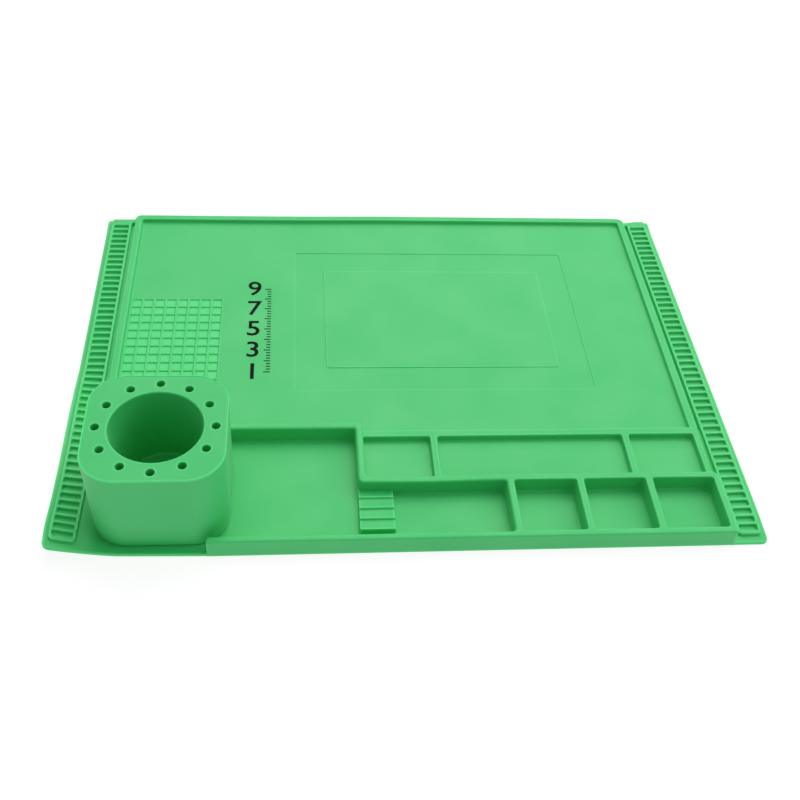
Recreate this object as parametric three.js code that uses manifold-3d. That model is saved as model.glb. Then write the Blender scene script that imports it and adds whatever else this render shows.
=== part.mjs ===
// Silicone repair work mat with a tool cup, as two moulded pieces.
// Millimetres, +X to the right, +Y to the back, +Z up.
// The origin is the middle of the sheet's footprint, on the underside.

import * as THREE from 'three';
import { mergeVertices } from 'three/addons/utils/BufferGeometryUtils.js';
import Module from 'manifold-3d';

const wasm = await Module();
wasm.setup();

// Base sheet. The frame's back wall stands out behind the sheet's side parts.
const MAT_WIDTH = 400;
const MAT_DEPTH = 298;
const BACK_STEP = 3;
const SHEET_THICKNESS = 2;
const SHEET_CORNER_RADIUS = 5.5;

// Heights of the four kinds of wall, above the underside
const STRIP_TOP = 4;
const FRAME_TOP = 5;
const SECOND_ROW_TOP = 6.2;
const TRAY_TOP = 12.5;

// Wall thicknesses
const FRAME_WALL = 5;
const BACK_WALL = 5;
const ROW_SIDE_WALL = 4;
const SECOND_ROW_WALL = 5.2;
const SECOND_ROW_DIVIDER = 4.3;
const TRAY_WALL = 4.5;
const FRONT_WALL = 4.2;
const TRAY_DIVIDER = 4.3;

// Plan corners
const WALL_CORNER_RADIUS = 3.5;
const POCKET_CORNER_RADIUS = 2;
const FRAME_CORNER_RADIUS = 5.5;
const WALL_END_RADIUS = 1.2;
const CORNER_STEPS = 3;

// Slotted strips along the left and right edges
const LEDGE_WIDTH = 3;
const STRIP_WIDTH = 13.9;
const GROOVE_WIDTH = 2.4;
const GROOVE_BACK_STOP = 4.3;
const STRIP_FRONT = 4.8;
const STRIP_CORNER_RADIUS = 2.8;
const SLOT_LENGTH = 10.7;
const SLOT_WIDTH = 3.9;
const SLOT_PITCH = 5.77;
const SLOT_FRONT_MARGIN = 2.7;
const SLOT_BACK_MARGIN = 6;
const SLOT_CORNER_RADIUS = 1;
const SLOT_CORNER_STEPS = 1;

// Rows of compartments in front of the work area
const TRAY_ROW_DEPTH = 35.8;
const SECOND_ROW_DEPTH = 34.8;
const BIG_TRAY_DEPTH = 76.7;
const LONG_TRAY_WIDTH = 84.8;
const SQUARE_SIZE = 36.4;
const SQUARE_COUNT = 3;
const SECOND_ROW_SIDE_WIDTH = 40.4;
const FRONT_WALL_PAST_CUP = 12.4;

// Stepped rest for pens and tweezers
const REST_WIDTH = 19.8;
const REST_CREST = 6.2;
const REST_VALLEY = 5.1;
const REST_PITCH = 7.43;
const REST_FIRST_CREST = 4.3;
const REST_CREST_COUNT = 4;
const REST_STEP_RUN = 0.7;

// Grid of small pits at the left of the work area
const PIT_PITCH = 7.54;
const PIT_SIZE = 6;
const PIT_DEPTH = 1;
const PIT_COLUMNS = 8;
const PIT_ROWS = 12;
const PIT_BACK_MARGIN = 85.2;

// Shallow sunk band around a rectangular pad
const BAND_RIGHT_MARGIN = 51;
const BAND_BACK_MARGIN = 34.8;
const BAND_LENGTH = 191;
const BAND_DEPTH = 135.8;
const BAND_WIDTH = 19.8;
const BAND_SINK = 0.4;
const BAND_CORNER_RADIUS = 2;

// Tool cup, bonded to the sheet at the front left
const CUP_SIDE_MARGIN = 6.6;
const CUP_FRONT_MARGIN = 5.2;
const CUP_HEIGHT = 56;
const CUP_SIZE = 74.8;
const CUP_BASE_SIZE = 73.4;
const CUP_CORNER_RADIUS = 20;
const CUP_CORNER_STEPS = 8;
const CUP_BORE = 49.6;
const CUP_BORE_DEPTH = 50;
const CUP_BORE_STEPS = 48;
const TOOL_HOLE = 4.7;
const TOOL_HOLE_DEPTH = 42;
const TOOL_HOLE_COUNT = 12;
const TOOL_HOLE_STEPS = 10;
const TOOL_HOLE_CIRCLE = 62.6;

// Length by which a cutter stands past the face that it opens
const CUT_PAST = 1;

// Places that follow from the sizes above. Depths are measured from the front edge.
const halfWidth = MAT_WIDTH / 2;
const frontEdge = -MAT_DEPTH / 2;
const stripOuter = halfWidth - LEDGE_WIDTH;
const stripInner = stripOuter - STRIP_WIDTH;
const frameOuter = stripInner - GROOVE_WIDTH;
const frameInner = frameOuter - FRAME_WALL;
const rowOuter = frameInner + ROW_SIDE_WALL;
const sheetBack = MAT_DEPTH - BACK_STEP;
const frameBack = MAT_DEPTH - BACK_WALL;
const cupX = -stripInner + CUP_SIDE_MARGIN + CUP_SIZE / 2;
const cupY = CUP_FRONT_MARGIN + CUP_SIZE / 2;
const frontWallLeft = cupX + CUP_SIZE / 2 - FRONT_WALL_PAST_CUP;
const trayRowBack = FRONT_WALL + TRAY_ROW_DEPTH;
const trayRowWallBack = trayRowBack + TRAY_WALL;
const secondRowBack = trayRowWallBack + SECOND_ROW_DEPTH;
const secondRowWallBack = secondRowBack + SECOND_ROW_WALL;
const bigTrayBack = FRONT_WALL + BIG_TRAY_DEPTH;
const bigTrayWallBack = bigTrayBack + TRAY_WALL;
const squaresLeft = frameInner - SQUARE_COUNT * SQUARE_SIZE - (SQUARE_COUNT - 1) * TRAY_DIVIDER;
const longTrayRight = squaresLeft - TRAY_DIVIDER;
const bigTrayRight = longTrayRight - LONG_TRAY_WIDTH;
const bigTrayWallRight = bigTrayRight + TRAY_DIVIDER;

const silicone = () => new THREE.MeshStandardMaterial({ color: 0x67ce85, roughness: 0.5, metalness: 0 });

// One closed, merged solid from a three.js geometry
function solid(geometry) {
  const bare = geometry.clone();
  bare.deleteAttribute('normal');
  bare.deleteAttribute('uv');
  const merged = mergeVertices(bare, 1e-4);
  return new wasm.Manifold(new wasm.Mesh({
    numProp: 3,
    vertProperties: new Float32Array(merged.attributes.position.array),
    triVerts: new Uint32Array(merged.index.array),
  }));
}

// A three.js geometry from a solid
function geometryOf(body) {
  const mesh = body.getMesh();
  const geometry = new THREE.BufferGeometry();
  geometry.setAttribute('position', new THREE.BufferAttribute(new Float32Array(mesh.vertProperties), 3));
  geometry.setIndex(new THREE.BufferAttribute(new Uint32Array(mesh.triVerts), 1));
  geometry.computeVertexNormals();
  return geometry;
}

// A closed outline whose corners are rounded. Each corner is [x, y] or [x, y, radius].
function outline(corners, radius, steps) {
  const points = [];
  corners.forEach((corner, index) => {
    const here = new THREE.Vector2(corner[0], corner[1]);
    const previous = corners[(index + corners.length - 1) % corners.length];
    const next = corners[(index + 1) % corners.length];
    const back = new THREE.Vector2(previous[0], previous[1]).sub(here);
    const ahead = new THREE.Vector2(next[0], next[1]).sub(here);
    const bend = corner[2] ?? radius;
    if (bend <= 0) {
      points.push(here);
      return;
    }
    const half = Math.acos(back.clone().normalize().dot(ahead.clone().normalize())) / 2;
    const setback = Math.min(bend / Math.tan(half), back.length() / 2, ahead.length() / 2);
    const reach = setback * Math.tan(half);
    const middle = back.clone().normalize().add(ahead.clone().normalize()).normalize();
    const centre = here.clone().addScaledVector(middle, reach / Math.sin(half));
    const start = here.clone().addScaledVector(back.normalize(), setback).sub(centre);
    const end = here.clone().addScaledVector(ahead.normalize(), setback).sub(centre);
    const turn = Math.atan2(start.cross(end), start.dot(end));
    for (let step = 0; step <= steps; step += 1) {
      points.push(start.clone().rotateAround(new THREE.Vector2(), (turn * step) / steps).add(centre));
    }
  });
  return new THREE.Shape(points);
}

// A rectangle between two corners, with rounded corners
function rectangle(left, front, right, back, radius, steps = CORNER_STEPS) {
  return outline([[left, front], [right, front], [right, back], [left, back]], radius, steps);
}

// Outlines drawn from the sheet's front edge, raised from one height to another
function raised(shapes, low, high) {
  const geometry = new THREE.ExtrudeGeometry(shapes, { depth: high - low, bevelEnabled: false });
  geometry.translate(0, frontEdge, low);
  return solid(geometry);
}

function baseSheet() {
  const plan = rectangle(-halfWidth, 0, halfWidth, sheetBack, SHEET_CORNER_RADIUS);
  return raised([plan], 0, SHEET_THICKNESS);
}

// The two slotted strips. Behind its groove each strip runs on to the frame.
function strips() {
  const firstSlot = STRIP_FRONT + SLOT_FRONT_MARGIN + SLOT_WIDTH / 2;
  const lastSlot = sheetBack - SLOT_BACK_MARGIN - SLOT_WIDTH / 2;
  const slotCount = Math.floor((lastSlot - firstSlot) / SLOT_PITCH) + 1;
  const slotMiddle = (stripInner + stripOuter) / 2;
  const grooveEnd = sheetBack - GROOVE_BACK_STOP;
  const bars = [];
  const slots = [];
  for (const side of [-1, 1]) {
    bars.push(outline([
      [side * stripInner, STRIP_FRONT, STRIP_CORNER_RADIUS],
      [side * stripInner, grooveEnd],
      [side * frameOuter, grooveEnd],
      [side * frameOuter, sheetBack],
      [side * stripOuter, sheetBack, STRIP_CORNER_RADIUS],
      [side * stripOuter, STRIP_FRONT, STRIP_CORNER_RADIUS],
    ], 0, CORNER_STEPS));
    for (let index = 0; index < slotCount; index += 1) {
      const middle = firstSlot + index * SLOT_PITCH;
      const left = side * slotMiddle - SLOT_LENGTH / 2;
      slots.push(rectangle(
        left, middle - SLOT_WIDTH / 2, left + SLOT_LENGTH, middle + SLOT_WIDTH / 2,
        SLOT_CORNER_RADIUS, SLOT_CORNER_STEPS,
      ));
    }
  }
  return {
    bars: raised(bars, 0, STRIP_TOP),
    slots: raised(slots, SHEET_THICKNESS, STRIP_TOP + CUT_PAST),
  };
}

// Low frame around the back and the sides of the work area
function frameWall() {
  const outer = outline([
    [-frameOuter, bigTrayBack, 0],
    [frameOuter, bigTrayBack, 0],
    [frameOuter, MAT_DEPTH],
    [-frameOuter, MAT_DEPTH],
  ], FRAME_CORNER_RADIUS, CORNER_STEPS);
  const inner = outline([
    [-frameInner, bigTrayBack - CUT_PAST, 0],
    [frameInner, bigTrayBack - CUT_PAST, 0],
    [frameInner, frameBack],
    [-frameInner, frameBack],
  ], POCKET_CORNER_RADIUS, CORNER_STEPS);
  return raised([outer], 0, FRAME_TOP)
    .subtract(raised([inner], SHEET_THICKNESS, FRAME_TOP + CUT_PAST));
}

// Three shallow compartments behind the front row
function secondRow() {
  const left = bigTrayRight;
  const plan = outline([
    [left, trayRowBack, 0],
    [rowOuter, trayRowBack, 0],
    [rowOuter, secondRowWallBack],
    [left, secondRowWallBack, 0],
  ], WALL_CORNER_RADIUS, CORNER_STEPS);
  const middleLeft = bigTrayWallRight + SECOND_ROW_SIDE_WIDTH + SECOND_ROW_DIVIDER;
  const middleRight = frameInner - SECOND_ROW_SIDE_WIDTH - SECOND_ROW_DIVIDER;
  const spans = [
    [bigTrayWallRight, bigTrayWallRight + SECOND_ROW_SIDE_WIDTH],
    [middleLeft, middleRight],
    [frameInner - SECOND_ROW_SIDE_WIDTH, frameInner],
  ];
  const pockets = spans.map(([from, to]) => (
    rectangle(from, trayRowWallBack, to, secondRowBack, POCKET_CORNER_RADIUS)
  ));
  return raised([plan], 0, SECOND_ROW_TOP)
    .subtract(raised(pockets, SHEET_THICKNESS, SECOND_ROW_TOP + CUT_PAST));
}

// High walls of the big tray and of the front row. The big tray is open towards the cup.
function trayWalls() {
  const plan = outline([
    [frontWallLeft, 0, WALL_END_RADIUS],
    [rowOuter, 0, WALL_END_RADIUS],
    [rowOuter, trayRowWallBack],
    [bigTrayWallRight, trayRowWallBack],
    [bigTrayWallRight, bigTrayWallBack],
    [-frameOuter, bigTrayWallBack],
    [-frameOuter, bigTrayBack, 0],
    [frontWallLeft, bigTrayBack, 0],
  ], WALL_CORNER_RADIUS, CORNER_STEPS);
  const openLeft = frontWallLeft - CUT_PAST;
  const bigTray = outline([
    [openLeft, FRONT_WALL, 0],
    [longTrayRight, FRONT_WALL],
    [longTrayRight, trayRowBack],
    [bigTrayRight, trayRowBack, WALL_CORNER_RADIUS],
    [bigTrayRight, bigTrayBack],
    [openLeft, bigTrayBack, 0],
  ], POCKET_CORNER_RADIUS, CORNER_STEPS);
  const pockets = [bigTray];
  for (let index = 0; index < SQUARE_COUNT; index += 1) {
    const left = squaresLeft + index * (SQUARE_SIZE + TRAY_DIVIDER);
    pockets.push(rectangle(left, FRONT_WALL, left + SQUARE_SIZE, trayRowBack, POCKET_CORNER_RADIUS));
  }
  return raised([plan], 0, TRAY_TOP)
    .subtract(raised(pockets, SHEET_THICKNESS, TRAY_TOP + CUT_PAST));
}

// Stepped rest between the big tray and the long compartment, as a side profile drawn from its back
function toolRest() {
  const lastCrest = REST_FIRST_CREST + (REST_CREST_COUNT - 1) * REST_PITCH;
  const slope = (REST_CREST - REST_VALLEY) / (REST_PITCH - REST_STEP_RUN);
  const start = REST_CREST - slope * (REST_FIRST_CREST + CUT_PAST);
  const profile = [[-CUT_PAST, 0], [-CUT_PAST, start]];
  for (let index = 0; index < REST_CREST_COUNT; index += 1) {
    const crest = REST_FIRST_CREST + index * REST_PITCH;
    profile.push([crest, REST_CREST]);
    if (index < REST_CREST_COUNT - 1) {
      profile.push([crest + REST_STEP_RUN, REST_VALLEY]);
    }
  }
  profile.push([lastCrest + REST_STEP_RUN, 0]);
  const shape = new THREE.Shape(profile.map(([run, height]) => new THREE.Vector2(-run, height)));
  const geometry = new THREE.ExtrudeGeometry(shape, { depth: REST_WIDTH, bevelEnabled: false });
  geometry.rotateX(Math.PI / 2);
  geometry.rotateZ(Math.PI / 2);
  geometry.translate(bigTrayRight, frontEdge + trayRowBack, 0);
  return solid(geometry);
}

function pitGrid() {
  const pits = [];
  const rib = PIT_PITCH - PIT_SIZE;
  for (let row = 0; row < PIT_ROWS; row += 1) {
    for (let column = 0; column < PIT_COLUMNS; column += 1) {
      const left = -frameInner + rib + column * PIT_PITCH;
      const back = frameBack - PIT_BACK_MARGIN - row * PIT_PITCH;
      pits.push(rectangle(left, back - PIT_SIZE, left + PIT_SIZE, back, 0));
    }
  }
  return raised(pits, SHEET_THICKNESS - PIT_DEPTH, SHEET_THICKNESS + CUT_PAST);
}

function sunkBand() {
  const right = frameInner - BAND_RIGHT_MARGIN;
  const back = frameBack - BAND_BACK_MARGIN;
  const ring = (inset) => rectangle(
    right - BAND_LENGTH + inset, back - BAND_DEPTH + inset, right - inset, back - inset, BAND_CORNER_RADIUS,
  );
  const low = SHEET_THICKNESS - BAND_SINK;
  const high = SHEET_THICKNESS + CUT_PAST;
  return raised([ring(0)], low, high).subtract(raised([ring(BAND_WIDTH)], low - CUT_PAST, high + CUT_PAST));
}

function workMat() {
  const { bars, slots } = strips();
  const body = baseSheet()
    .add(bars)
    .add(frameWall())
    .add(secondRow())
    .add(trayWalls())
    .add(toolRest());
  return geometryOf(body.subtract(slots).subtract(pitGrid()).subtract(sunkBand()));
}

// A round cutter that opens the cup's top
function roundCut(diameter, depth, steps, x, y) {
  const height = depth + CUT_PAST;
  const geometry = new THREE.CylinderGeometry(diameter / 2, diameter / 2, height, steps);
  geometry.rotateX(Math.PI / 2);
  geometry.translate(x, y, CUP_HEIGHT - depth + height / 2);
  return solid(geometry);
}

// The cup stands on its own origin, and its walls lean out a little towards the top
function toolCup() {
  const half = CUP_SIZE / 2;
  const plan = rectangle(-half, -half, half, half, CUP_CORNER_RADIUS, CUP_CORNER_STEPS);
  const geometry = new THREE.ExtrudeGeometry(plan, { depth: CUP_HEIGHT, bevelEnabled: false });
  const place = geometry.attributes.position;
  for (let index = 0; index < place.count; index += 1) {
    if (place.getZ(index) < CUP_HEIGHT / 2) {
      const scale = CUP_BASE_SIZE / CUP_SIZE;
      place.setXY(index, place.getX(index) * scale, place.getY(index) * scale);
    }
  }
  let body = solid(geometry).subtract(roundCut(CUP_BORE, CUP_BORE_DEPTH, CUP_BORE_STEPS, 0, 0));
  for (let index = 0; index < TOOL_HOLE_COUNT; index += 1) {
    const angle = (2 * Math.PI * index) / TOOL_HOLE_COUNT;
    const x = (TOOL_HOLE_CIRCLE / 2) * Math.sin(angle);
    const y = (TOOL_HOLE_CIRCLE / 2) * Math.cos(angle);
    body = body.subtract(roundCut(TOOL_HOLE, TOOL_HOLE_DEPTH, TOOL_HOLE_STEPS, x, y));
  }
  return geometryOf(body);
}

function named(name, geometry) {
  const mesh = new THREE.Mesh(geometry, silicone());
  mesh.name = name;
  return mesh;
}

const part = new THREE.Group();
part.add(named('work_mat', workMat()));

const cup = named('tool_cup', toolCup());
cup.position.set(cupX, frontEdge + cupY, SHEET_THICKNESS);
part.add(cup);

export default part;
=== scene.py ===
"""Looks of a moulded silicone work mat and its tool cup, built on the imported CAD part.

Pieces are sized in millimetres and become metres when they are finished. Their
depths run back from the mat's front edge, as they do in the part's source. The
studio is in metres.
"""

import logging
import math
from dataclasses import dataclass, field
from enum import Enum
from typing import Any, Callable, Sequence

import bmesh
import bpy
from mathutils import Matrix, Vector, noise


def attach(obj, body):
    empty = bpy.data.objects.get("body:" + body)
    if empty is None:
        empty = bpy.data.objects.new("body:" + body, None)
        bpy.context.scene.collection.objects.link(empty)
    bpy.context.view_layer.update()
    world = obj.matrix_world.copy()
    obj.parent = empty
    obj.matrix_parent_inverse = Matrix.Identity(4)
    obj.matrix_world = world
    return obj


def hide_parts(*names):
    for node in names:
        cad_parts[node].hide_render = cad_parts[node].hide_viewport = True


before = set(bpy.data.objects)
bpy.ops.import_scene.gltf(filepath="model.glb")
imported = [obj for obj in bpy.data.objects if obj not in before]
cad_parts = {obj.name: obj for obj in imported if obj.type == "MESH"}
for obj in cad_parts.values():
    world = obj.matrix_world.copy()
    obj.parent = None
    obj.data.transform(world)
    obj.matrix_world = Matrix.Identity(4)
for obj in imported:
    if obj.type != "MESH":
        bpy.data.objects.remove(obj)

LOG = logging.getLogger("work_mat")
MM = 0.001
BODY = "root"

# Edges of the mouldings that turn by more than this stay crisp
SHARP_DEGREES = 42
# Flat steps in the arc of a wall's or a pocket's section
ARC_STEPS = 3
# Height below the bench where a cutter that goes right through starts
THROUGH = -1.0
# Height above a pocket's mouth where its cutter ends
CUTTER_PAST = 1.5
# A rounded corner that is set in keeps at least this radius
LEAST_RADIUS = 0.03
# Colour inputs and colour result of Blender's mix node
MIX_FROM, MIX_TO, MIX_RESULT = 6, 7, 2
# Tool rest: steps in each tread and its share of the rise, then runs and heights
# from each crest, from each valley and from the last crest down to the sheet, and
# the drop of its rounded sides by distance in
TREAD_STEPS = 9
TREAD_RISE = 0.8
CREST_POINTS = ((-0.8, -0.12), (-0.45, 0.0), (-0.1, -0.05), (0.1, -0.3))
VALLEY_POINTS = ((0.3, 0.2), (0.6, 0.0))
FOOT_POINTS = ((0.45, 0.5), (0.9, -0.05))
REST_SIDES = ((0.0, 0.35), (0.1, 0.12), (0.35, 0.0))

Corner = tuple[float, float, float]
Profile = list[tuple[float, float]]
Bend = Callable[[Vector], Vector]


class Cut(Enum):
    """How one solid is put together with another."""

    JOIN = "UNION"
    CARVE = "DIFFERENCE"


class Side(Enum):
    """Left or right half of the mat."""

    LEFT = -1
    RIGHT = 1


def linear(code: str) -> tuple[float, float, float, float]:
    """Turn an sRGB hex colour into linear light.

    Args:
        code: six hex digits, without a hash sign.

    Returns:
        Red, green, blue and an alpha of one.
    """
    parts = [int(code[start:start + 2], 16) / 255 for start in (0, 2, 4)]
    # Curve and limits of the sRGB standard
    lit = [part / 12.92 if part <= 0.04045 else ((part + 0.055) / 1.055) ** 2.4 for part in parts]
    return lit[0], lit[1], lit[2], 1.0


def add_node(tree: bpy.types.NodeTree, kind: str, settings: dict[str, Any] | None = None,
             inputs: dict[str | int, Any] | None = None) -> bpy.types.Node:
    """Add one shader node with its settings and links.

    Args:
        tree: node tree that takes the node.
        kind: Blender's name for the node type.
        settings: node properties to set.
        inputs: values or source sockets by input name or number.

    Returns:
        The new node.
    """
    node = tree.nodes.new(kind)
    for name, value in (settings or {}).items():
        setattr(node, name, value)
    for name, value in (inputs or {}).items():
        if isinstance(value, bpy.types.NodeSocket):
            tree.links.new(value, node.inputs[name])
        else:
            node.inputs[name].default_value = value
    return node


def ring(corners: Sequence[Corner], inset: float, steps: int) -> list[Vector]:
    """Outline with rounded corners, set in from its edges.

    Args:
        corners: x, depth and radius of each corner, anticlockwise, all square.
        inset: distance by which every edge moves inwards.
        steps: flat steps in each corner.

    Returns:
        Plan points of the outline.
    """
    points: list[Vector] = []
    for index, (x, depth, radius) in enumerate(corners):
        before = corners[index - 1]
        after = corners[(index + 1) % len(corners)]
        came = Vector((x - before[0], depth - before[1])).normalized()
        goes = Vector((after[0] - x, after[1] - depth)).normalized()
        first, last = Vector((-came.y, came.x)), Vector((-goes.y, goes.x))
        side = 1 if came.x * goes.y > came.y * goes.x else -1
        bend = max(radius - side * inset, LEAST_RADIUS)
        centre = Vector((x, depth)) + (first + last) * (inset + side * bend)
        for step in range(steps + 1):
            angle = math.pi / 2 * step / steps
            points.append(centre - (first * math.cos(angle) + last * math.sin(angle)) * bend * side)
    return points


def rectangle(left: float, front: float, right: float, back: float, radius: float) -> list[Corner]:
    """Corners of a rectangle, anticlockwise from the front left."""
    return [(left, front, radius), (right, front, radius), (right, back, radius), (left, back, radius)]


def quarter(inset: float, height: float, radius: float, start: float, end: float,
            steps: int) -> Profile:
    """Points of an arc in a wall's section.

    Args:
        inset: inset of the arc's centre.
        height: height of the arc's centre.
        radius: radius of the arc.
        start: first angle in degrees, from the inward direction.
        end: last angle in degrees.
        steps: flat steps in the arc.

    Returns:
        Inset and height of each point.
    """
    points: Profile = []
    for step in range(steps + 1):
        angle = math.radians(start + (end - start) * step / steps)
        points.append((inset + radius * math.cos(angle), height + radius * math.sin(angle)))
    return points


@dataclass(frozen=True)
class Rounding:
    """Radii at the foot and the rim of a wall or a pocket, and the slope of its faces."""

    foot: float
    rim: float
    draft: float = 0.015


def wall_section(low: float, floor: float, top: float, edge: Rounding) -> Profile:
    """Section of a standing wall from its root to its rounded rim.

    Args:
        low: height where the wall starts.
        floor: height of the surface that the wall stands on.
        top: height of the wall's top.
        edge: radii and slope of the wall.

    Returns:
        Inset and height of each point, from the bottom up.
    """
    lean = (top - floor) * edge.draft
    section = [(-edge.foot - lean, low)]
    section += quarter(-edge.foot - lean, floor + edge.foot, edge.foot, -90, 0, ARC_STEPS)
    section += quarter(edge.rim, top - edge.rim, edge.rim, 180, 90, ARC_STEPS)
    return section


def pocket_section(floor: float, top: float, edge: Rounding, low: float | None = None) -> Profile:
    """Section of a cutter that leaves a pocket with a rounded floor and mouth.

    Args:
        floor: height of the pocket's floor.
        top: height of the surface that the pocket opens in.
        edge: radii and slope of the pocket.
        low: height where a cutter that goes right through starts, or None.

    Returns:
        Inset and height of each point, from the bottom up.
    """
    lean = (top - floor) * edge.draft
    section = [] if low is None else [(edge.foot + lean, low)]
    section += quarter(edge.foot + lean, floor + edge.foot, edge.foot, -90, -180, ARC_STEPS)
    section += quarter(-edge.rim, top - edge.rim, edge.rim, 0, 90, ARC_STEPS)
    section.append((-edge.rim, top + CUTTER_PAST))
    return section


def stack(bm: bmesh.types.BMesh, corners: Sequence[Corner], section: Profile, steps: int,
          keep: tuple[float, float, float] | None = None) -> None:
    """Add a closed solid that follows a section round an outline.

    Args:
        bm: mesh that takes the solid.
        corners: corners of the outline.
        section: inset and height of each ring, from the bottom up.
        steps: flat steps in each corner.
        keep: half width, front and back that no point may pass.
    """
    rings: list[list[bmesh.types.BMVert]] = []
    for inset, height in section:
        loop = []
        for point in ring(corners, inset, steps):
            if keep:
                point.x = min(max(point.x, -keep[0]), keep[0])
                point.y = min(max(point.y, keep[1]), keep[2])
            loop.append(bm.verts.new((point.x, point.y, height)))
        rings.append(loop)
    for lower, upper in zip(rings, rings[1:]):
        for index in range(len(lower)):
            after = (index + 1) % len(lower)
            bm.faces.new((lower[index], lower[after], upper[after], upper[index]))
    bm.faces.new(list(reversed(rings[0])))
    bm.faces.new(rings[-1])


def as_object(bm: bmesh.types.BMesh, name: str) -> bpy.types.Object:
    """Put a mesh into the scene as an object and free the mesh builder."""
    mesh = bpy.data.meshes.new(name)
    bm.to_mesh(mesh)
    bm.free()
    thing = bpy.data.objects.new(name, mesh)
    bpy.context.collection.objects.link(thing)
    return thing


def settle_modifiers(thing: bpy.types.Object) -> None:
    """Turn an object's modifiers into its own mesh."""
    shaped = thing.evaluated_get(bpy.context.evaluated_depsgraph_get())
    mesh = bpy.data.meshes.new_from_object(shaped)
    old = thing.data
    thing.modifiers.clear()
    thing.data = mesh
    bpy.data.meshes.remove(old)


def combine(body: bpy.types.Object, tool: bpy.types.Object, cut: Cut) -> None:
    """Join a solid to another, or carve it out, and drop the tool.

    Args:
        body: solid that is kept.
        tool: closed solid that is used up.
        cut: whether the tool is joined or carved out.
    """
    change = body.modifiers.new("cut", "BOOLEAN")
    change.operation = cut.value
    change.solver = "MANIFOLD"
    change.object = tool
    settle_modifiers(body)
    bpy.data.meshes.remove(tool.data)


def slice_up(bm: bmesh.types.BMesh, axis: int, places: Sequence[float]) -> None:
    """Cut a mesh along planes, so that it can bend between them.

    Args:
        bm: mesh to cut.
        axis: 0 to cut across x and 1 across y.
        places: position of each plane on that axis.
    """
    normal = Vector((1, 0, 0)) if axis == 0 else Vector((0, 1, 0))
    for place in places:
        everything = bm.verts[:] + bm.edges[:] + bm.faces[:]
        bmesh.ops.bisect_plane(bm, geom=everything, dist=1e-4, plane_co=normal * place, plane_no=normal)


def spread(start: float, pitch: float, count: int) -> list[float]:
    """Evenly spaced positions on one axis."""
    return [start + pitch * step for step in range(count)]


def finish_piece(thing: bpy.types.Object, bend: Bend | None, material: bpy.types.Material,
                 sharp: float) -> None:
    """Bend a solid, turn it to metres, shade it and give it its material.

    Args:
        thing: solid in millimetres, with depths from the mat's front edge.
        bend: moves each point, or None.
        material: finish of the whole piece.
        sharp: edges that turn by more than this many degrees stay crisp.
    """
    mesh = thing.data
    for vertex in mesh.vertices:
        place = bend(vertex.co) if bend else vertex.co
        vertex.co = Vector((place.x, place.y - WorkMat.depth / 2, place.z)) * MM
    mesh.polygons.foreach_set("use_smooth", [True] * len(mesh.polygons))
    mesh.set_sharp_from_angle(angle=math.radians(sharp))
    weighted = thing.modifiers.new("even shading", "WEIGHTED_NORMAL")
    weighted.keep_sharp = True
    weighted.weight = 100
    settle_modifiers(thing)
    thing.data.materials.clear()
    thing.data.materials.append(material)


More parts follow.
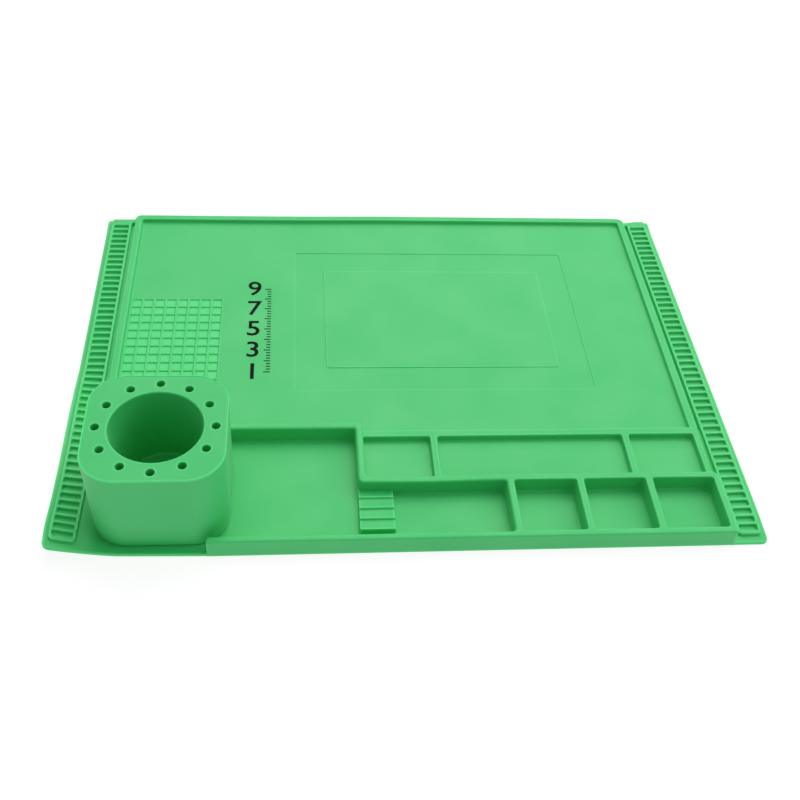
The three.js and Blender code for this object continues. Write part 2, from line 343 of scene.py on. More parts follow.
@dataclass(frozen=True)
class MouldedSilicone:
    """Silicone rubber pressed in a finely blasted steel mould.

    The eye sees an even green with a soft satin sheen. Light gets a few
    millimetres into it, so shaded faces stay green; thin rims and skins are painted paler as painted
    highlight and glow.
    """

    name: str
    colour: str
    deep_colour: str
    ior: float = 1.41
    roughness: float = 0.6
    roughness_range: float = 0.05
    specular: float = 1.0
    bloom: float = 0.08
    bloom_roughness: float = 0.5
    glow: float = 0.25
    glow_depth_mm: float = 2.2
    glow_reach: tuple[float, float, float] = (0.45, 1.0, 0.55)
    cloud_mm: float = 38.0
    cloud_strength: float = 0.10
    # Painted light: paler green that rims and thin skins are painted towards, as painted highlight and
    # painted glow
    painted_rim_light_colour: str = "45D77C"
    thin_mm: float = 1.5
    grain_mm: float = 0.7
    grain_height_mm: float = 0.02

    def material(self) -> bpy.types.Material:
        """Build the node material and return it."""
        made = bpy.data.materials.new(self.name)
        made.use_nodes = True
        tree = made.node_tree
        shader = tree.nodes["Principled BSDF"]
        place = add_node(tree, "ShaderNodeNewGeometry").outputs["Position"]
        # Pigment that is stirred in by hand leaves faint clouds a few centimetres wide
        clouds = add_node(tree, "ShaderNodeTexNoise", inputs={
            "Vector": place, "Scale": 1 / (self.cloud_mm * MM), "Detail": 2.0, "Roughness": 0.5})
        ramp = add_node(tree, "ShaderNodeMapRange", inputs={
            "Value": clouds.outputs["Fac"], "From Min": 0.35, "From Max": 0.65,
            "To Min": 0.0, "To Max": self.cloud_strength})
        mix = add_node(tree, "ShaderNodeMix", {"data_type": "RGBA"}, {
            "Factor": ramp.outputs["Result"], MIX_FROM: linear(self.colour),
            MIX_TO: linear(self.deep_colour)})
        # Painted light: rims and thin skins let light through from behind and look paler, so their base
        # colour is painted paler as a painted highlight on the rims and a painted glow through thin skins
        inside = add_node(tree, "ShaderNodeAmbientOcclusion", {
            "inside": True, "only_local": True, "samples": 8}, {"Distance": self.thin_mm * MM})
        thin = add_node(tree, "ShaderNodeMapRange", inputs={
            "Value": inside.outputs["AO"], "From Min": 0.55, "From Max": 1.0,
            "To Min": 1.0, "To Max": 0.0})
        painted_rim_light_mix = add_node(tree, "ShaderNodeMix", {"data_type": "RGBA"}, {
            "Factor": thin.outputs["Result"], MIX_FROM: mix.outputs[MIX_RESULT],
            MIX_TO: linear(self.painted_rim_light_colour)})
        tree.links.new(painted_rim_light_mix.outputs[MIX_RESULT], shader.inputs["Base Color"])
        # The blasted mould leaves a fine grain. Real grain is near 0.1 mm: it is drawn coarser to show
        grain = add_node(tree, "ShaderNodeTexNoise", inputs={
            "Vector": place, "Scale": 1 / (self.grain_mm * MM), "Detail": 3.0, "Roughness": 0.6})
        bump = add_node(tree, "ShaderNodeBump", inputs={
            "Strength": 0.5, "Distance": self.grain_height_mm * MM, "Height": grain.outputs["Fac"]})
        tree.links.new(bump.outputs["Normal"], shader.inputs["Normal"])
        # Handling leaves the sheen a little uneven
        sheen = add_node(tree, "ShaderNodeMapRange", inputs={
            "Value": clouds.outputs["Fac"], "From Min": 0.3, "From Max": 0.7,
            "To Min": self.roughness - self.roughness_range,
            "To Max": self.roughness + self.roughness_range})
        tree.links.new(sheen.outputs["Result"], shader.inputs["Roughness"])
        shader.inputs["IOR"].default_value = self.ior
        shader.inputs["Specular IOR Level"].default_value = self.specular
        # Dust and a bloom of free oil lay a faint pale veil over the green
        shader.inputs["Sheen Weight"].default_value = self.bloom
        shader.inputs["Sheen Roughness"].default_value = self.bloom_roughness
        shader.inputs["Subsurface Weight"].default_value = self.glow
        shader.inputs["Subsurface Radius"].default_value = self.glow_reach
        shader.inputs["Subsurface Scale"].default_value = self.glow_depth_mm * MM
        return made


@dataclass(frozen=True)
class ScreenInk:
    """Silicone ink, screen printed: a thin dead-black film with slightly worn edges."""

    name: str
    colour: str
    worn_colour: str
    ior: float = 1.45
    roughness: float = 0.85
    specular: float = 0.15
    speck_mm: float = 0.5

    def material(self) -> bpy.types.Material:
        """Build the node material and return it."""
        made = bpy.data.materials.new(self.name)
        made.use_nodes = True
        tree = made.node_tree
        shader = tree.nodes["Principled BSDF"]
        place = add_node(tree, "ShaderNodeNewGeometry").outputs["Position"]
        # Pin holes of the printing screen, drawn at half a millimetre so that they show
        specks = add_node(tree, "ShaderNodeTexNoise", inputs={
            "Vector": place, "Scale": 1 / (self.speck_mm * MM), "Detail": 2.0})
        ramp = add_node(tree, "ShaderNodeMapRange", inputs={
            "Value": specks.outputs["Fac"], "From Min": 0.62, "From Max": 0.72,
            "To Min": 0.0, "To Max": 0.5})
        mix = add_node(tree, "ShaderNodeMix", {"data_type": "RGBA"}, {
            "Factor": ramp.outputs["Result"], MIX_FROM: linear(self.colour),
            MIX_TO: linear(self.worn_colour)})
        tree.links.new(mix.outputs[MIX_RESULT], shader.inputs["Base Color"])
        shader.inputs["Roughness"].default_value = self.roughness
        shader.inputs["IOR"].default_value = self.ior
        shader.inputs["Specular IOR Level"].default_value = self.specular
        return made


@dataclass(frozen=True)
class PaleFloor:
    """Plain white acrylic table that is lit from below, so shadows on it stay faint."""

    name: str = "opal_white_acrylic"
    colour: str = "707070"
    roughness: float = 0.9
    glow: float = 0.86

    def material(self) -> bpy.types.Material:
        """Build the node material and return it."""
        made = bpy.data.materials.new(self.name)
        made.use_nodes = True
        shader = made.node_tree.nodes["Principled BSDF"]
        shader.inputs["Base Color"].default_value = linear(self.colour)
        shader.inputs["Roughness"].default_value = self.roughness
        shader.inputs["Emission Color"].default_value = (1, 1, 1, 1)
        shader.inputs["Emission Strength"].default_value = self.glow
        return made


def smooth(value: float) -> float:
    """Ease from 0 to 1 over the same range of value."""
    share = min(max(value, 0.0), 1.0)
    return share * share * (3 - 2 * share)


@dataclass(frozen=True)
class Ramp:
    """Where a distortion sets in, and the run over which it grows."""

    start: float
    run: float

    def grown(self, value: float) -> float:
        """Straight growth from 0 at the start, without an upper end."""
        return max((value - self.start) / self.run, 0.0)

    def straight(self, value: float) -> float:
        """Straight growth from 0 to 1."""
        return min(self.grown(value), 1.0)

    def eased(self, value: float) -> float:
        """Eased growth from 0 to 1."""
        return smooth((value - self.start) / self.run)


@dataclass
class LooseFit:
    """How the real mat departs from true: lifted edges, a strip that lags and walls that waver.

    Ramps across the mat run outwards from a distance to its middle. Those of the
    back edge run to the right from a place on x, and those named depth run back
    from a distance to the front edge.
    """

    # The front left corner curls up, over a gentle rise that starts nearer the middle
    curl_start: float = 163.0
    curl_soft: float = 4.0
    curl_slope: float = 0.2
    curl_limit: float = 30.0
    curl_base: float = 1.3
    curl_base_ramp: Ramp = Ramp(112.0, 40.0)
    curl_reach: float = 27.0
    curl_fade: float = 1.6
    curl_draw: float = 0.014
    cup_hold: Ramp = Ramp(0.3, 5.0)
    # The left edge lifts along the front of the mat
    front_run: float = 25.0
    ledge_lift: float = 3.6
    ledge_ramp: Ramp = Ramp(181.0, 19.0)
    ledge_end_depth: Ramp = Ramp(104.0, 46.0)
    ledge_front_share: float = 0.3
    # The right edge, the back edge and the back corners lift a little
    right_lift: float = 0.9
    right_ramp: Ramp = Ramp(183.0, 17.0)
    back_lift: float = 0.55
    back_from: Ramp = Ramp(-60.0, 60.0)
    back_to: Ramp = Ramp(170.0, 12.0)
    back_depth: Ramp = Ramp(262.0, 34.0)
    corner_lift: float = 1.1
    corner_ramp: Ramp = Ramp(197.0, 1.2)
    corner_depth: Ramp = Ramp(284.0, 9.0)
    # The back edge is short at the left, and the right strip runs further back
    back_short: float = 0.35
    short_ramp: Ramp = Ramp(40.0, 60.0)
    short_depth: Ramp = Ramp(286.0, 8.0)
    strip_lag: float = 2.0
    lag_length: float = 290.0
    lag_power: float = 1.2
    lag_ramp: Ramp = Ramp(179.0, 5.0)
    # The walls waver, and the long tray's rear wall leans forward. The ramp wave_back
    # runs forward, so its start is a depth with the sign turned
    wave_height: float = 0.35
    wave_length: float = 62.0
    wave_depth: float = 40.0
    wave_slice: float = 3.7
    wave_front: Ramp = Ramp(8.0, 10.0)
    wave_back: Ramp = Ramp(-288.0, 10.0)
    lean_height: float = 1.1
    lean_middle: float = 12.0
    lean_reach: float = 30.0
    lean_depth: float = 42.0
    lean_depth_reach: float = 4.0

    def clear_of_cup(self, point: Vector) -> float:
        """Share of the curl that is left near the cup's foot, where the sheet is held flat."""
        half = ToolCup.base_size / 2 - ToolCup.corner
        aside = max(abs(point.x - ToolCup.x) - half, 0.0)
        ahead = max(abs(point.y - ToolCup.depth) - half, 0.0)
        return self.cup_hold.eased(math.hypot(aside, ahead) - ToolCup.corner)

    def curl(self, point: Vector) -> float:
        """Rise of the curled front left corner."""
        out = (-point.x - self.curl_start) / self.curl_soft
        front = self.curl_slope * self.curl_soft * math.log1p(math.exp(min(out, self.curl_limit)))
        front += self.curl_base * self.curl_base_ramp.straight(-point.x)
        fade = math.exp(-(max(point.y, 0.0) / self.curl_reach) ** self.curl_fade)
        return front * fade * self.clear_of_cup(point)

    def lift(self, x: float, depth: float) -> float:
        """Rise of the left, right and back edges and of the back corners."""
        ledge = self.ledge_lift * self.ledge_ramp.grown(-x) ** 2
        ledge *= 1 - self.ledge_end_depth.eased(depth)
        ledge *= smooth(depth / self.front_run + self.ledge_front_share)
        right = self.right_lift * self.right_ramp.grown(x) ** 2 * smooth(depth / self.front_run)
        back = self.back_lift * self.back_from.eased(x) * self.back_depth.eased(depth)
        back *= 1 - self.back_to.eased(x)
        corner = self.corner_lift * self.corner_ramp.eased(abs(x)) * self.corner_depth.eased(depth)
        return ledge + right + corner + back

    def wall_drift(self, x: float, depth: float) -> float:
        """How much further back the top of a high wall stands than its foot."""
        inner = self.wave_front.straight(depth) * self.wave_back.straight(-depth)
        place = Vector((x / self.wave_length, depth / self.wave_depth, self.wave_slice))
        sway = noise.noise(place) * self.wave_height * inner
        near = math.exp(-((x - self.lean_middle) / self.lean_reach) ** 2)
        near *= math.exp(-((depth - self.lean_depth) / self.lean_depth_reach) ** 2)
        return sway - self.lean_height * near

    def bend(self, point: Vector) -> Vector:
        """Move one point of the mat.

        Args:
            point: x, depth and height.

        Returns:
            The moved point.
        """
        x, depth, height = point
        curl = self.curl(point)
        short = self.back_short * self.short_ramp.eased(-x) * self.short_depth.eased(depth)
        lag = self.strip_lag * (max(depth, 0.0) / self.lag_length) ** self.lag_power
        lag *= self.lag_ramp.eased(x)
        rise = max(height - WorkMat.sheet, 0.0) / (WorkMat.tray_top - WorkMat.sheet)
        return Vector((
            x + self.curl_draw * curl * curl,
            depth + lag - short + self.wall_drift(x, depth) * rise,
            height + curl + self.lift(x, depth),
        ))


@dataclass
class WorkMat:
    """One-piece moulded mat: sheet, slotted strips, frame, trays, rest, pits and band."""

    width: float = 400.0
    depth: float = 298.0
    sheet: float = 2.0
    sheet_foot: float = 0.2
    sheet_rim: float = 0.5
    sheet_corner: float = 3.6
    curled_corner: float = 3.2
    sheet_back: float = 294.0
    sheet_short: float = 0.1
    strip_top: float = 4.0
    frame_top: float = 5.0
    row_top: float = 6.2
    tray_top: float = 12.5
    strip_outer: float = 197.0
    strip_inner: float = 183.1
    strip_front: float = 4.8
    strip_corner: float = 2.6
    strip_back_corner: float = 2.4
    strip_inner_corner: float = 1.0
    strip_root: float = 1.5
    frame_outer: float = 180.7
    frame_inner: float = 175.7
    frame_back: float = 293.0
    frame_corner: float = 4.4
    frame_back_corner: float = 1.4
    frame_front_corner: float = 2.0
    frame_root: float = 3.0
    jog_root: float = 0.4
    jog_corner: float = 0.2
    groove_end: float = 289.7
    groove_floor: float = 1.3
    groove_margin: float = 0.25
    groove_back_margin: float = 0.3
    groove_corner: float = 0.8
    slot_length: float = 10.7
    slot_width: float = 3.9
    slot_pitch: float = 5.74
    first_slot: float = 9.45
    slot_count: int = 49
    slot_corner: float = 1.0
    front_wall: float = 4.2
    tray_back: float = 40.0
    tray_wall_back: float = 44.5
    row_outer: float = 179.5
    row_back: float = 79.3
    row_wall_back: float = 84.5
    big_back: float = 80.9
    big_wall_back: float = 85.4
    wall_left_end: float = -114.1
    big_right: float = -31.2
    big_wall_right: float = -26.9
    long_right: float = 53.6
    wall_corner: float = 3.5
    wall_end_corner: float = 1.2
    front_right_corner: float = 1.0
    left_end_corner: float = 0.8
    pocket_corner: float = 1.6
    squares: tuple[tuple[float, float], ...] = ((57.9, 94.3), (98.6, 135.0), (139.3, 175.7))
    row_spans: tuple[tuple[float, float], ...] = ((-26.9, 13.5), (17.8, 131.0), (135.3, 175.7))
    rest_right: float = -11.4
    rest_crest: float = 6.1
    rest_valley: float = 4.9
    rest_pitch: float = 7.43
    rest_first: float = 6.2
    rest_steps: int = 4
    rest_root_drop: float = 0.2
    tread_start: float = 1.0
    tread_end: float = 0.9
    tread_clear: float = 0.1
    rest_side_above: float = 1.0
    pit_left: float = -174.16
    pit_back: float = 207.8
    pit_pitch: float = 7.54
    pit_size: float = 6.0
    pit_floor: float = 1.25
    pit_columns: int = 8
    pit_rows: int = 12
    pit_corner: float = 0.35
    band: tuple[float, float, float, float] = (-66.3, 122.4, 124.7, 258.2)
    band_width: float = 19.8
    band_sink: float = 0.4
    band_corner: float = 2.0
    pad_below: float = 1.0
    pad_above: float = 3.0
    # Walls start at this height inside the sheet, and hidden corners have this radius
    low: float = 0.3
    hidden_corner: float = 0.3
    # Pieces reach this far into their neighbours, so that no skin is left between them
    root: float = 2.0
    lap: float = 0.05
    strip_edge: Rounding = Rounding(0.4, 0.6)
    slot_edge: Rounding = Rounding(0.7, 0.5, 0.03)
    pit_edge: Rounding = Rounding(0.35, 0.35, 0.05)
    groove_edge: Rounding = Rounding(0.3, 0.15, 0.03)
    band_edge: Rounding = Rounding(0.15, 0.15, 0.1)
    frame_edge: Rounding = Rounding(0.4, 0.7)
    frame_pocket_edge: Rounding = Rounding(1.2, 0.8)
    row_edge: Rounding = Rounding(0.3, 0.7)
    row_pocket_edge: Rounding = Rounding(1.0, 0.7)
    tray_edge: Rounding = Rounding(0.5, 1.4)
    tray_pocket_edge: Rounding = Rounding(1.3, 0.8)
    fit: LooseFit = field(default_factory=LooseFit)

    def keep(self) -> tuple[float, float, float]:
        """Half width, front and back that the mat's points stay within."""
        return self.width / 2, 0.0, self.depth

    def base(self) -> bpy.types.Object:
        """Sheet with its two slotted strips."""
        bm = bmesh.new()
        half, back = self.width / 2, self.sheet_back - self.sheet_short
        plan = [(-half, 0.0, self.curled_corner), (half, 0.0, self.sheet_corner),
                (half, back, self.sheet_corner), (-half, back, self.sheet_corner)]
        section = quarter(self.sheet_foot, self.sheet_foot, self.sheet_foot, 270, 180, 2)
        section += quarter(self.sheet_rim, self.sheet - self.sheet_rim, self.sheet_rim, 180, 90, ARC_STEPS)
        stack(bm, plan, section, steps=6, keep=self.keep())
        body = as_object(bm, "work_mat_silicone")
        bars = bmesh.new()
        section = wall_section(self.low, self.sheet, self.strip_top, self.strip_edge)
        root = self.frame_outer - self.strip_root
        for side in Side:
            mirror = side.value
            corners = [
                (mirror * self.strip_inner, self.strip_front, self.strip_corner),
                (mirror * self.strip_outer, self.strip_front, self.strip_corner),
                (mirror * self.strip_outer, self.sheet_back, self.strip_back_corner),
                (mirror * root, self.sheet_back, self.hidden_corner),
                (mirror * root, self.groove_end, self.hidden_corner),
                (mirror * self.strip_inner, self.groove_end, self.strip_inner_corner),
            ]
            stack(bars, corners if side is Side.RIGHT else corners[::-1], section, steps=5,
                  keep=(self.width / 2, 0.0, self.sheet_back))
        combine(body, as_object(bars, "strips"), Cut.JOIN)
        slots = bmesh.new()
        section = pocket_section(self.sheet, self.strip_top, self.slot_edge)
        middle = (self.strip_inner + self.strip_outer) / 2
        for side in Side:
            for index in range(self.slot_count):
                centre = self.first_slot + index * self.slot_pitch
                left = side.value * middle - self.slot_length / 2
                plan = rectangle(left, centre - self.slot_width / 2, left + self.slot_length,
                                 centre + self.slot_width / 2, self.slot_corner)
                stack(slots, plan, section, steps=2)
        combine(body, as_object(slots, "slots"), Cut.CARVE)
        return body

    def carve_floor(self, body: bpy.types.Object) -> None:
        """Cut the grid of pits, the two grooves and the sunk band into the sheet."""
        pits = bmesh.new()
        section = pocket_section(self.pit_floor, self.sheet, self.pit_edge)
        for row in range(self.pit_rows):
            for column in range(self.pit_columns):
                left = self.pit_left + column * self.pit_pitch
                back = self.pit_back - row * self.pit_pitch
                plan = rectangle(left, back - self.pit_size, left + self.pit_size, back,
                                 self.pit_corner)
                stack(pits, plan, section, steps=2)
        combine(body, as_object(pits, "pits"), Cut.CARVE)
        grooves = bmesh.new()
        section = pocket_section(self.groove_floor, self.sheet, self.groove_edge)
        for side in Side:
            left, right = sorted((side.value * (self.frame_outer + self.groove_margin),
                                  side.value * (self.strip_inner - self.groove_margin)))
            plan = rectangle(left, self.row_wall_back, right,
                             self.groove_end - self.groove_back_margin, self.groove_corner)
            stack(grooves, plan, section, steps=3)
        combine(body, as_object(grooves, "grooves"), Cut.CARVE)
        left, front, right, back = self.band
        outer, inner = bmesh.new(), bmesh.new()
        floor = self.sheet - self.band_sink
        stack(outer, rectangle(left, front, right, back, self.band_corner),
              pocket_section(floor, self.sheet, self.band_edge), steps=4)
        wide, rim = self.band_width, self.band_edge.rim
        pad = [(0.0, floor - self.pad_below)] + quarter(rim, self.sheet - rim, rim, 180, 90, ARC_STEPS)
        pad.append((rim, self.sheet + self.pad_above))
        stack(inner, rectangle(left + wide, front + wide, right - wide, back - wide, self.band_corner),
              pad, steps=4)
        cutter = as_object(outer, "band")
        combine(cutter, as_object(inner, "pad"), Cut.CARVE)
        combine(body, cutter, Cut.CARVE)

    def frame_wall(self) -> bpy.types.Object:
        """Low frame round the back and the sides of the work area."""
        bm = bmesh.new()
        section = wall_section(self.low, self.sheet, self.frame_top, self.frame_edge)
        # The frame stands past the sheet at the back, so its wall goes down to the bench
        section[0] = (section[0][0], 0.0)
        plan = rectangle(-self.frame_outer, self.row_wall_back - self.frame_root,
                         self.frame_outer, self.depth, self.frame_corner)
        stack(bm, plan, section, steps=6, keep=self.keep())
        body = as_object(bm, "frame")
        pocket = bmesh.new()
        jog = self.big_right + self.jog_root
        big_front, row_front = self.big_wall_back - self.lap, self.row_wall_back - self.lap
        corners = [
            (-self.frame_inner, big_front, self.frame_front_corner),
            (jog, big_front, self.jog_corner),
            (jog, row_front, self.jog_corner),
            (self.frame_inner, row_front, self.frame_front_corner),
            (self.frame_inner, self.frame_back, self.frame_back_corner),
            (-self.frame_inner, self.frame_back, self.frame_back_corner),
        ]
        section = pocket_section(self.sheet, self.frame_top, self.frame_pocket_edge, THROUGH)
        stack(pocket, corners, section, steps=5)
        combine(body, as_object(pocket, "frame_pocket"), Cut.CARVE)
        return body

    def second_row(self) -> bpy.types.Object:
        """Three shallow compartments behind the front row."""
        bm = bmesh.new()
        left, front = self.big_right + self.root, self.tray_back + self.root
        plan = [
            (left, front, self.hidden_corner), (self.row_outer, front, self.hidden_corner),
            (self.row_outer, self.row_wall_back, self.wall_corner),
            (left, self.row_wall_back, self.hidden_corner),
        ]
        stack(bm, plan, wall_section(self.low, self.sheet, self.row_top, self.row_edge), steps=6)
        body = as_object(bm, "second_row")
        pockets = bmesh.new()
        section = pocket_section(self.sheet, self.row_top, self.row_pocket_edge, THROUGH)
        for left, right in self.row_spans:
            start = left - self.lap if left < 0 else left
            plan = rectangle(start, self.tray_wall_back - self.lap, right, self.row_back,
                             self.pocket_corner)
            stack(pockets, plan, section, steps=5)
        combine(body, as_object(pockets, "row_pockets"), Cut.CARVE)
        return body

    def tray_walls(self) -> bpy.types.Object:
        """High walls of the big tray and of the front row."""
        bm = bmesh.new()
        outer, inner, end = self.wall_corner, self.pocket_corner, self.wall_end_corner
        corners = [
            (self.wall_left_end, 0.0, end), (self.row_outer, 0.0, self.front_right_corner),
            (self.row_outer, self.tray_wall_back, outer), (self.big_wall_right, self.tray_wall_back, outer),
            (self.big_wall_right, self.big_wall_back, outer),
            (-self.frame_outer, self.big_wall_back, outer),
            (-self.frame_outer, self.big_back, self.left_end_corner),
            (self.big_right, self.big_back, inner),
            (self.big_right, self.tray_back, outer), (self.long_right, self.tray_back, inner),
            (self.long_right, self.front_wall, inner), (self.wall_left_end, self.front_wall, end),
        ]
        section = wall_section(0.0, self.sheet, self.tray_top, self.tray_edge)
        stack(bm, corners, section, steps=6, keep=self.keep())
        body = as_object(bm, "tray_walls")
        pockets = bmesh.new()
        section = pocket_section(self.sheet, self.tray_top, self.tray_pocket_edge, THROUGH)
        for left, right in self.squares:
            plan = rectangle(left, self.front_wall, right, self.tray_back, self.pocket_corner)
            stack(pockets, plan, section, steps=5)
        combine(body, as_object(pockets, "tray_pockets"), Cut.CARVE)
        return body

    def rest_line(self) -> Profile:
        """Section of the tool rest, as runs forward from the trays' rear wall and heights."""
        line: Profile = [(-self.root, self.low), (-self.root, self.rest_valley - self.rest_root_drop)]
        rise = self.rest_crest - self.rest_valley
        for index in range(self.rest_steps):
            crest = self.rest_first + index * self.rest_pitch
            start = crest - self.rest_pitch + self.tread_start
            for step in range(1, TREAD_STEPS):
                share = step / TREAD_STEPS
                run = start + (crest - self.tread_end - start) * share
                # Points inside the rear wall are left out
                if run > self.tread_clear - self.root:
                    line.append((run, self.rest_valley + rise * share ** 2 * TREAD_RISE))
            line += [(crest + run, self.rest_crest + height) for run, height in CREST_POINTS]
            if index < self.rest_steps - 1:
                line += [(crest + run, self.rest_valley + height) for run, height in VALLEY_POINTS]
        last = self.rest_first + (self.rest_steps - 1) * self.rest_pitch
        line += [(last + run, self.sheet + height) for run, height in FOOT_POINTS]
        line.append((line[-1][0], self.low))
        return line

    def tool_rest(self) -> bpy.types.Object:
        """Stepped rest for pens and tweezers, with a steep front to each step."""
        line = self.rest_line()
        last = self.rest_first + (self.rest_steps - 1) * self.rest_pitch
        width = self.rest_right - self.big_right
        cuts = list(REST_SIDES) + [(width - place, drop) for place, drop in reversed(REST_SIDES)]
        bm = bmesh.new()
        rings = []
        for place, drop in cuts:
            loop = []
            for run, height in line:
                forward = self.tray_back - run + (drop if run > last else 0.0)
                down = drop if height > self.sheet + self.rest_side_above else 0.0
                loop.append(bm.verts.new((self.big_right + place, forward, height - down)))
            rings.append(loop)
        for near, far in zip(rings, rings[1:]):
            for index in range(len(line)):
                after = (index + 1) % len(line)
                bm.faces.new((near[index], near[after], far[after], far[index]))
        bm.faces.new(list(reversed(rings[0])))
        bm.faces.new(rings[-1])
        bmesh.ops.recalc_face_normals(bm, faces=bm.faces[:])
        return as_object(bm, "tool_rest")

    def build(self, material: bpy.types.Material) -> bpy.types.Object:
        """Make the whole mat as one solid and dress it.

        Args:
            material: the mat's silicone.

        Returns:
            The finished piece.
        """
        body = self.base()
        self.carve_floor(body)
        for part in (self.frame_wall(), self.second_row(), self.tray_walls(), self.tool_rest()):
            combine(body, part, Cut.JOIN)
        bm = bmesh.new()
        bm.from_mesh(body.data)
        # Close cuts where the mat curls at the left and leans at the front, wide ones elsewhere
        slice_up(bm, 0, spread(-197.5, 3.5, 12) + spread(-150.0, 10.0, 35))
        slice_up(bm, 1, spread(3.0, 4.0, 10) + spread(60.0, 20.0, 12))
        bmesh.ops.triangulate(bm, faces=[face for face in bm.faces if len(face.verts) > 4])
        bm.to_mesh(body.data)
        bm.free()
        finish_piece(body, self.fit.bend, material, sharp=SHARP_DEGREES)
        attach(body, BODY)
        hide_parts("work_mat")
        return body


@dataclass(frozen=True)
class Bore:
    """Round hole with a rounded floor and mouth, which narrows by its lean on each side."""

    diameter: float
    floor: float
    foot: float
    rim: float
    lean: float
    steps: int

    def add(self, bm: bmesh.types.BMesh, x: float, depth: float, top: float) -> None:
        """Add the hole's cutter.

        Args:
            bm: mesh that takes the cutter.
            x: middle of the hole.
            depth: middle of the hole, from the mat's front edge.
            top: height of the surface that the hole opens in.
        """
        half = self.diameter / 2
        edge = Rounding(self.foot, self.rim, self.lean / (top - self.floor))
        # A hair off the full radius keeps four short sides, so that the corners stay apart
        plan = rectangle(x - half, depth - half, x + half, depth + half, radius=half - 0.001)
        stack(bm, plan, pocket_section(self.floor, top, edge), self.steps)


@dataclass
class ToolCup:
    """Thick-walled cup with a wide bore and a ring of narrow holes."""

    x: float = -139.1
    depth: float = 42.6
    base: float = 2.0
    height: float = 56.0
    size: float = 74.8
    base_size: float = 73.4
    corner: float = 20.0
    foot: float = 1.4
    bore: Bore = Bore(49.6, 8.0, 1.5, 0.9, 0.5, 18)
    hole: Bore = Bore(4.7, 16.0, 0.5, 0.4, 0.15, 6)
    hole_count: int = 12
    hole_circle: float = 62.6
    lip_wide: float = 0.7
    lip_rise: float = 0.25
    lip_slope: float = 0.25

    def build(self, material: bpy.types.Material) -> bpy.types.Object:
        """Make the cup as one solid and dress it.

        Args:
            material: the cup's silicone.

        Returns:
            The finished piece.
        """
        top = self.base + self.height
        mouth = top - self.lip_rise
        lean = (self.size - self.base_size) / 2
        half, lip = self.size / 2, self.lip_wide / 2
        bm = bmesh.new()
        plan = rectangle(self.x - half, self.depth - half, self.x + half, self.depth + half, self.corner)
        section = quarter(self.foot + lean, self.base + self.foot, self.foot, 270, 180, 4)
        section += quarter(lip, top - lip, lip, 180, 0, 6)
        section.append((self.lip_wide + self.lip_slope, mouth))
        stack(bm, plan, section, steps=14)
        body = as_object(bm, "tool_cup_silicone")
        cutters = bmesh.new()
        self.bore.add(cutters, self.x, self.depth, mouth)
        for index in range(self.hole_count):
            angle = 2 * math.pi * index / self.hole_count
            x = self.x + self.hole_circle / 2 * math.sin(angle)
            depth = self.depth + self.hole_circle / 2 * math.cos(angle)
            self.hole.add(cutters, x, depth, mouth)
        combine(body, as_object(cutters, "bores"), Cut.CARVE)
        finish_piece(body, None, material, sharp=SHARP_DEGREES)
        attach(body, BODY)
        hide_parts("tool_cup")
        return body


@dataclass
class PrintedScale:
    """Plain scale of ticks and numbers, printed between the pits and the band."""

    x: float = -82.4
    start: float = 138.5
    step: float = 20.0
    count: int = 5
    small_steps: int = 8
    tick_long: float = 4.2
    tick_short: float = 2.6
    tick_wide: float = 0.9
    digit: float = 14.0
    digit_share: float = 0.7
    gap: float = 7.0
    embolden: float = 0.2
    film: float = 0.03
    sink: float = 0.02

    def build(self, material: bpy.types.Material) -> bpy.types.Object:
        """Make ticks and numbers as one thin film on the mat's floor.

        Args:
            material: the printing ink.

        Returns:
            The finished piece.
        """
        bm = bmesh.new()
        floor = WorkMat.sheet
        for index in range((self.count - 1) * self.small_steps + 1):
            length = self.tick_long if index % (self.small_steps // 2) == 0 else self.tick_short
            place = self.start + index * self.step / self.small_steps
            plan = rectangle(self.x - length, place - self.tick_wide / 2,
                             self.x, place + self.tick_wide / 2, radius=0.1)
            stack(bm, plan, [(0.0, floor - self.sink), (0.0, floor + self.film)], steps=1)
        middle = self.x - self.tick_long - self.gap
        for index in range(self.count):
            letter = bpy.data.curves.new("digit", "FONT")
            letter.body = str(index * 2 + 1)
            # A numeral stands about seven tenths as high as its font size
            letter.size = self.digit / self.digit_share
            letter.align_x = "CENTER"
            letter.align_y = "CENTER"
            letter.resolution_u = 4
            letter.extrude = self.film
            letter.offset = self.embolden
            stamp = bpy.data.objects.new("digit", letter)
            bpy.context.collection.objects.link(stamp)
            bpy.context.view_layer.update()
            mesh = bpy.data.meshes.new_from_object(stamp)
            mesh.transform(Matrix.Translation((middle, self.start + index * self.step, floor)))
            bm.from_mesh(mesh)
            bpy.data.objects.remove(stamp)
            bpy.data.meshes.remove(mesh)
        thing = as_object(bm, "printed_scale")
        finish_piece(thing, None, material, sharp=30)
        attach(thing, BODY)
        return thing


@dataclass(frozen=True)
class SoftLight:
    """Square soft light that faces the mat."""

    name: str
    place: tuple[float, float, float]
    size: float
    power: float

    def build(self) -> None:
        """Hang the light in the scene."""
        light = bpy.data.lights.new(self.name, "AREA")
        light.shape = "SQUARE"
        light.size = self.size
        light.energy = self.power
        stand = bpy.data.objects.new(self.name, light)
        stand.location = self.place
        stand.rotation_euler = (-Vector(self.place)).to_track_quat("-Z", "Y").to_euler()
        bpy.context.collection.objects.link(stand)


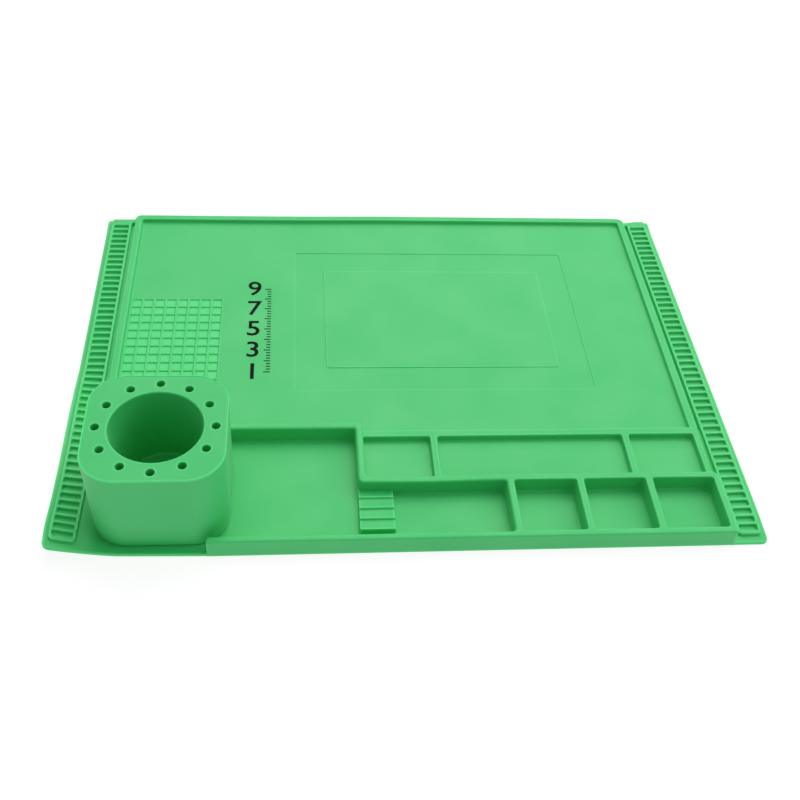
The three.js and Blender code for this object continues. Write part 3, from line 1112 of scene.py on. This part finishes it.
@dataclass
class Studio:
    """Pale lit table, soft lights and the camera that stands where the photograph's did."""

    camera_place: tuple[float, float, float] = (-0.0640, -0.4784, 0.4674)
    pitch: float = 46.158
    yaw: float = 8.010
    roll: float = 5.378
    lens: float = 46.70
    sensor: float = 36.0
    lights: tuple[SoftLight, ...] = (
        SoftLight("high_back", (0.6, 1.2, 2.6), 1.8, 34.0),
        SoftLight("low_back", (0.0, 2.2, 1.8), 1.8, 18.5),
        SoftLight("right", (2.4, 0.2, 1.8), 1.8, 22.5),
    )
    sky: float = 0.53
    table: PaleFloor = PaleFloor()
    table_half: float = 4.0
    table_drop: float = 0.0001

    def camera(self) -> None:
        """Place the camera from the angles that were solved from the photograph."""
        pitch, yaw, roll = (math.radians(angle) for angle in (self.pitch, self.yaw, self.roll))
        ahead = Vector((math.sin(yaw) * math.cos(pitch), math.cos(yaw) * math.cos(pitch), -math.sin(pitch)))
        right = Vector((math.cos(yaw), -math.sin(yaw), 0))
        up = right.cross(ahead)
        turned = right * math.cos(roll) + up * math.sin(roll)
        upright = up * math.cos(roll) - right * math.sin(roll)
        lens = bpy.data.cameras.new("camera")
        lens.sensor_width = self.sensor
        lens.lens = self.lens
        eye = bpy.data.objects.new("camera", lens)
        eye.matrix_world = Matrix.Translation(self.camera_place) @ Matrix(
            (turned, upright, -ahead)).transposed().to_4x4()
        bpy.context.collection.objects.link(eye)
        bpy.context.scene.camera = eye

    def build(self) -> None:
        """Set up the floor, the lights, the sky and the camera."""
        bm = bmesh.new()
        bmesh.ops.create_grid(bm, x_segments=1, y_segments=1, size=self.table_half)
        bmesh.ops.translate(bm, verts=bm.verts[:], vec=(0, 0, -self.table_drop))
        floor = as_object(bm, "floor")
        floor.data.materials.append(self.table.material())
        for light in self.lights:
            light.build()
        world = bpy.data.worlds.new("studio")
        world.use_nodes = True
        sky = world.node_tree.nodes["Background"]
        sky.inputs["Color"].default_value = (1, 1, 1, 1)
        sky.inputs["Strength"].default_value = self.sky
        bpy.context.scene.world = world
        bpy.context.scene.view_settings.view_transform = "Standard"
        bpy.context.scene.view_settings.look = "None"
        self.camera()


def main() -> None:
    """Build the studio and the pieces in order."""
    logging.basicConfig(level=logging.INFO, format="%(name)s: %(message)s")
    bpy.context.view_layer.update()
    Studio().build()
    mat_silicone = MouldedSilicone("moulded_green_silicone", "28BC61", "20A855").material()
    cup_silicone = MouldedSilicone("moulded_green_silicone_cup", "28BC61", "20A855").material()
    ink = ScreenInk("screen_printed_black_ink", "101312", "2E5A3C").material()
    for piece in (WorkMat().build(mat_silicone), ToolCup().build(cup_silicone), PrintedScale().build(ink)):
        LOG.info("built %s, %d faces", piece.name, len(piece.data.polygons))


if __name__ == "__main__":
    main()
